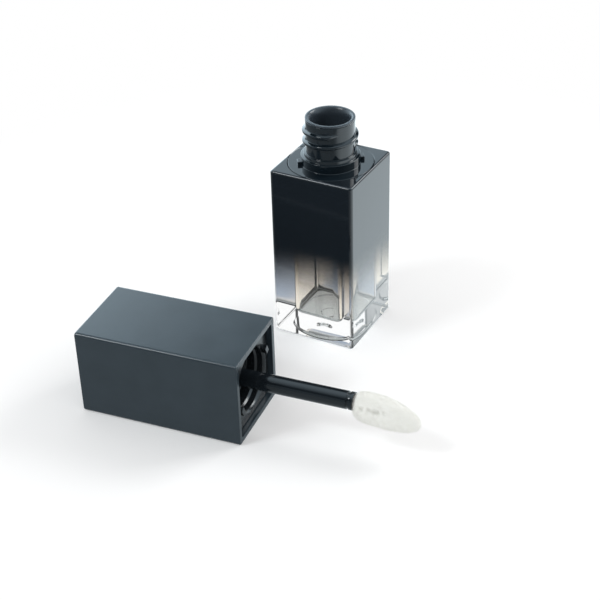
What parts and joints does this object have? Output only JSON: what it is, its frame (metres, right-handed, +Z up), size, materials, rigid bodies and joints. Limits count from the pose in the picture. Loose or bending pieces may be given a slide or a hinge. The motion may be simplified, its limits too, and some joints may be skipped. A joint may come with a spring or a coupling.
{
  "type": "lip gloss case",
  "caption": "Square cosmetic case opened: upright bottle with threaded neck and wiper, and a square screw cap lying beside it with its wand and flocked applicator.",
  "frame": {"origin": "middle of the bottle's base, in the plane that the bottle stands on", "axes": "+Z up along the bottle's axis; +X along the bottle's right face normal and roughly along the lying cap's wand; +Y away from the lying cap"},
  "size_m": [0.0745, 0.0657, 0.0523],
  "materials": {
    "lacquered_clear_plastic": "clear thick-walled plastic, sprayed with gloss black lacquer that fades to clear above the base",
    "neck_plastic": "polished black moulding",
    "wiper_plastic": "soft black moulding with a slight sheen",
    "cap_satin_plastic": "satin black moulding",
    "liner_plastic": "plain black moulding",
    "wand_plastic": "smooth black rod",
    "core_plastic": "soft white moulding under the flock",
    "white_flock": "short dense white nylon flock"
  },
  "bodies": {
    "bottle": {"bottle_body": "lacquered_clear_plastic", "neck_insert": "neck_plastic"},
    "wiper": {"wiper": "wiper_plastic"},
    "cap": {"cap_shell": "cap_satin_plastic", "cap_liner": "liner_plastic", "wand": "wand_plastic", "applicator_core": "core_plastic", "flock_tip": "white_flock"}
  },
  "joints": [
    {"name": "wiper_lift", "type": "slide", "parent": "bottle", "child": "wiper", "axis": [0, 0, 1], "range_m": [0, 0.02]},
    {"name": "cap_lift", "type": "slide", "parent": "bottle", "child": "cap", "axis": [0, 0, 1], "range_m": [0, 0.09]}
  ]
}
